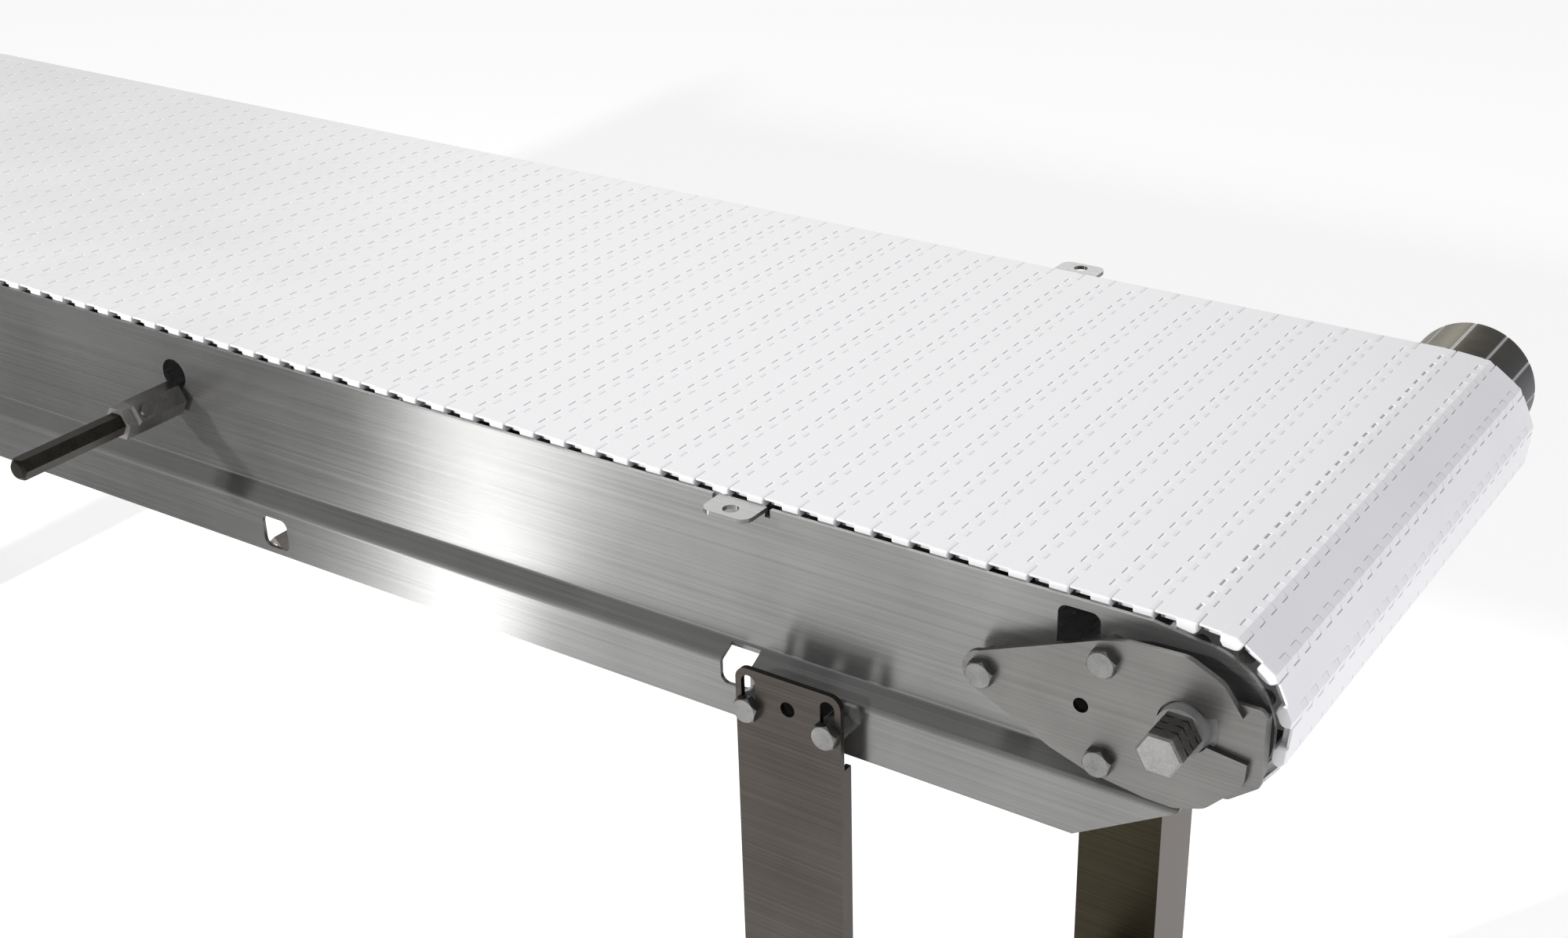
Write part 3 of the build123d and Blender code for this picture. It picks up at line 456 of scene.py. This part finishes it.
def make_materials():
    """One look for each material slot of the record."""
    return {
        "belt": plain_plastic("white_belt", (0.80, 0.80, 0.805), (0.85, 0.85, 0.855), (0.42, 0.55), 9.0),
        "rod_plastic": plain_plastic("rod", (0.5, 0.46, 0.38), (0.62, 0.58, 0.5), (0.4, 0.55)),
        "sheet_steel": brushed_metal("rail_sheet", (0.13, 0.13, 0.127), (0.21, 0.21, 0.206), (0.2, 0.3),
                                     GRAIN_ALONG_X, 0.85, metallic=0.75),
        "leg_steel": brushed_metal("leg_sheet", (0.048, 0.041, 0.035), (0.084, 0.076, 0.068), (0.34, 0.44),
                                   GRAIN_ALONG_X, 0.5),
        "dark_steel": plain_metal("dark_steel", (0.02, 0.018, 0.014), (0.04, 0.036, 0.029), (0.3, 0.42)),
        "turned_steel": plain_metal("turned_steel", (0.2, 0.196, 0.192), (0.29, 0.285, 0.28), (0.22, 0.34)),
        "fastener_steel": plain_metal("fastener", (0.14, 0.14, 0.137), (0.22, 0.22, 0.215),
                                      (0.3, 0.42), 90.0),
        "frame_steel": brushed_metal("bar_steel", (0.16, 0.145, 0.125), (0.24, 0.22, 0.195), (0.3, 0.42),
                                     GRAIN_ALONG_Y, 0.4),
        "bearing_plastic": plain_plastic("bearing_plastic", (0.74, 0.74, 0.72), (0.83, 0.83, 0.81),
                                         (0.4, 0.5)),
        "wear_plastic": plain_plastic("wear_plastic", (0.72, 0.74, 0.76), (0.8, 0.82, 0.84), (0.35, 0.5)),
        "drive_paint": plain_plastic("drive_paint", (0.6, 0.61, 0.62), (0.68, 0.69, 0.7),
                                     (0.28, 0.4), 40.0),
        "box_plastic": plain_plastic("box_plastic", (0.1, 0.105, 0.11), (0.14, 0.145, 0.15), (0.4, 0.55)),
        "pad_rubber": plain_plastic("pad_rubber", (0.015, 0.015, 0.015), (0.03, 0.03, 0.03), (0.6, 0.8)),
    }


def make_own_looks():
    """Looks of single nodes that differ from the rest of their slot."""
    plate = brushed_metal("end_plate", (0.135, 0.131, 0.125), (0.195, 0.191, 0.183), (0.34, 0.44),
                          GRAIN_ALONG_X, 0.4, 14.0)
    sleeve = plain_metal("sleeve_steel", (0.19, 0.18, 0.174), (0.29, 0.275, 0.265), (0.26, 0.38))
    bush = plain_plastic("bush_plastic", (0.14, 0.14, 0.137), (0.2, 0.2, 0.196), (0.35, 0.45))
    far_leg_painted_shade = far_leg_painted_shade_metal()
    looks = {"tail_shaft_cover": cover_metal(), "lifter_sleeve": sleeve}
    for node in ("near_tail_plate", "near_drive_plate", "far_drive_plate", "bearing_carriers"):
        looks[node] = plate
    for node in ("tail_shaft_bushes", "drive_shaft_bushes"):
        looks[node] = bush
    # the far legs get the look with painted shade on the broad face and painted light on the narrow sides
    for node in ("far_tail_leg", "far_drive_leg"):
        looks[node] = far_leg_painted_shade
    return looks


def paint_nodes(slot_looks, own_looks):
    """Give each CAD node its own look, or else that of its material slot."""
    for subpart in frame["record"]["subparts"]:
        node = subpart["node"]
        mesh = NODES[node].data
        mesh.materials.clear()
        mesh.materials.append(own_looks.get(node, slot_looks[subpart["material_slot"]]))


# ---------------------------------------------------------------- studio
CAMERA_PLACE = Vector((SHAFT_X + 0.3949, -1.2219, 1.5238))
CAMERA_AZIMUTH = math.radians(34.48)
CAMERA_ELEVATION = math.radians(26.40)
CAMERA_ROLL = math.radians(-1.49)
CAMERA_LENS = 49.02
UPRIGHT = Vector((0, 0, 1))


def make_camera():
    a, e = CAMERA_AZIMUTH, CAMERA_ELEVATION
    back = Vector((math.sin(a) * math.cos(e), -math.cos(a) * math.cos(e), math.sin(e)))
    level = UPRIGHT.cross(back).normalized()
    rise = back.cross(level)
    right = math.cos(CAMERA_ROLL) * level + math.sin(CAMERA_ROLL) * rise
    up = math.cos(CAMERA_ROLL) * rise - math.sin(CAMERA_ROLL) * level
    data = bpy.data.cameras.new("camera")
    data.lens = CAMERA_LENS
    data.sensor_width = 36
    data.clip_end = 200
    camera = bpy.data.objects.new("camera", data)
    turn = Matrix((right, up, back)).transposed()
    camera.matrix_world = Matrix.Translation(CAMERA_PLACE) @ turn.to_4x4()
    bpy.context.scene.collection.objects.link(camera)
    bpy.context.scene.camera = camera


def soft_light(name, place, aim, size, power, colour=(1, 1, 1), along=UPRIGHT):
    """Rectangular softbox that shines along a direction, with its longer side along another."""
    data = bpy.data.lights.new(name, "AREA")
    data.shape = "RECTANGLE"
    data.size, data.size_y = size
    data.energy = power
    data.color = colour
    lamp = bpy.data.objects.new(name, data)
    back = -Vector(aim).normalized()
    across = along.cross(back).normalized()
    turn = Matrix((across, back.cross(across), back)).transposed()
    lamp.matrix_world = Matrix.Translation(place) @ turn.to_4x4()
    lamp.visible_camera = False
    bpy.context.scene.collection.objects.link(lamp)
    return lamp


def make_card(name, corners, shade, strength):
    """Flat four-cornered studio piece of one grey shade, with a white glow."""
    mesh = bpy.data.meshes.new(name)
    mesh.from_pydata(corners, [], [tuple(range(len(corners)))])
    card = bpy.data.objects.new(name, mesh)
    bpy.context.scene.collection.objects.link(card)
    material, _, shader = new_material(name)
    shader.inputs["Base Color"].default_value = (shade, shade, shade, 1)
    shader.inputs["Roughness"].default_value = 0.9
    shader.inputs["Emission Color"].default_value = (1, 1, 1, 1)
    shader.inputs["Emission Strength"].default_value = strength
    mesh.materials.append(material)
    return card


def make_floor():
    half = 40.0                        # metres
    corners = [(-half, -half, 0), (half, -half, 0), (half, half, 0), (-half, half, 0)]
    make_card("studio_floor", corners, 0.9, 0.4)


def make_side_reflections():
    """What the brushed side shows: an upright bright band, and a darker stretch on the band's left.

    They come from a strip and a card that lie just over the floor and are seen in reflections only.
    """
    band_x = SHAFT_X - 0.556
    web_y = -(BELT_HALF_WIDTH + 6 * MM)
    strip_height, strip_distance = 0.03, 1.8
    strip_size = (0.05, 1.7)
    flag_height, flag_width = 0.02, 2.4
    flag_start, flag_end = 0.4, 2.65   # from the side rail, along the strip

    outward = Vector((band_x - CAMERA_PLACE.x, CAMERA_PLACE.y - web_y, 0)).normalized()
    foot = Vector((band_x, web_y, 0))
    place = foot + strip_distance * outward + strip_height * UPRIGHT
    strip = soft_light("band", place, UPRIGHT, strip_size, 10, along=outward)
    strip.visible_diffuse = False
    strip.data.use_shadow = False

    left = Vector((-flag_width, 0, 0))
    first = foot + flag_start * outward + flag_height * UPRIGHT
    last = foot + flag_end * outward + flag_height * UPRIGHT
    flag = make_card("flag", [first + left, last + left, last, first], 0.0, 0.3)
    flag.visible_camera = False
    flag.visible_diffuse = False
    flag.visible_shadow = False


def make_studio():
    world = bpy.data.worlds.new("studio_world")
    bpy.context.scene.world = world
    world.use_nodes = True
    background = world.node_tree.nodes["Background"]
    background.inputs["Color"].default_value = (1, 1, 1, 1)
    background.inputs["Strength"].default_value = 0.55
    make_floor()
    key = soft_light("key", (SHAFT_X - 2.11, -2.82, 1.91), (0.5, 1, -0.42), (0.15, 0.15), 110)
    key.visible_glossy = False
    soft_light("end_fill", (SHAFT_X + 1.9, -0.6, 1.9), (-1, 0.15, -0.55), (1.4, 1.4), 13, (0.88, 0.86, 1.0))
    glow_target = Vector((0, 0, 0.8))
    for name, place, size, power in (("back_glow", (-0.9, 2.6, 2.4), (2.5, 1.5), 35),
                                     ("front_glow", (0, -3.3, 1.35), (6, 0.5), 15)):
        glow = soft_light(name, place, glow_target - Vector(place), size, power)
        glow.visible_diffuse = False
    make_side_reflections()
    bpy.context.scene.view_settings.view_transform = "Standard"


slot_looks = make_materials()
paint_nodes(slot_looks, make_own_looks())
make_belt(slot_looks["belt"])
make_studio()
make_camera()
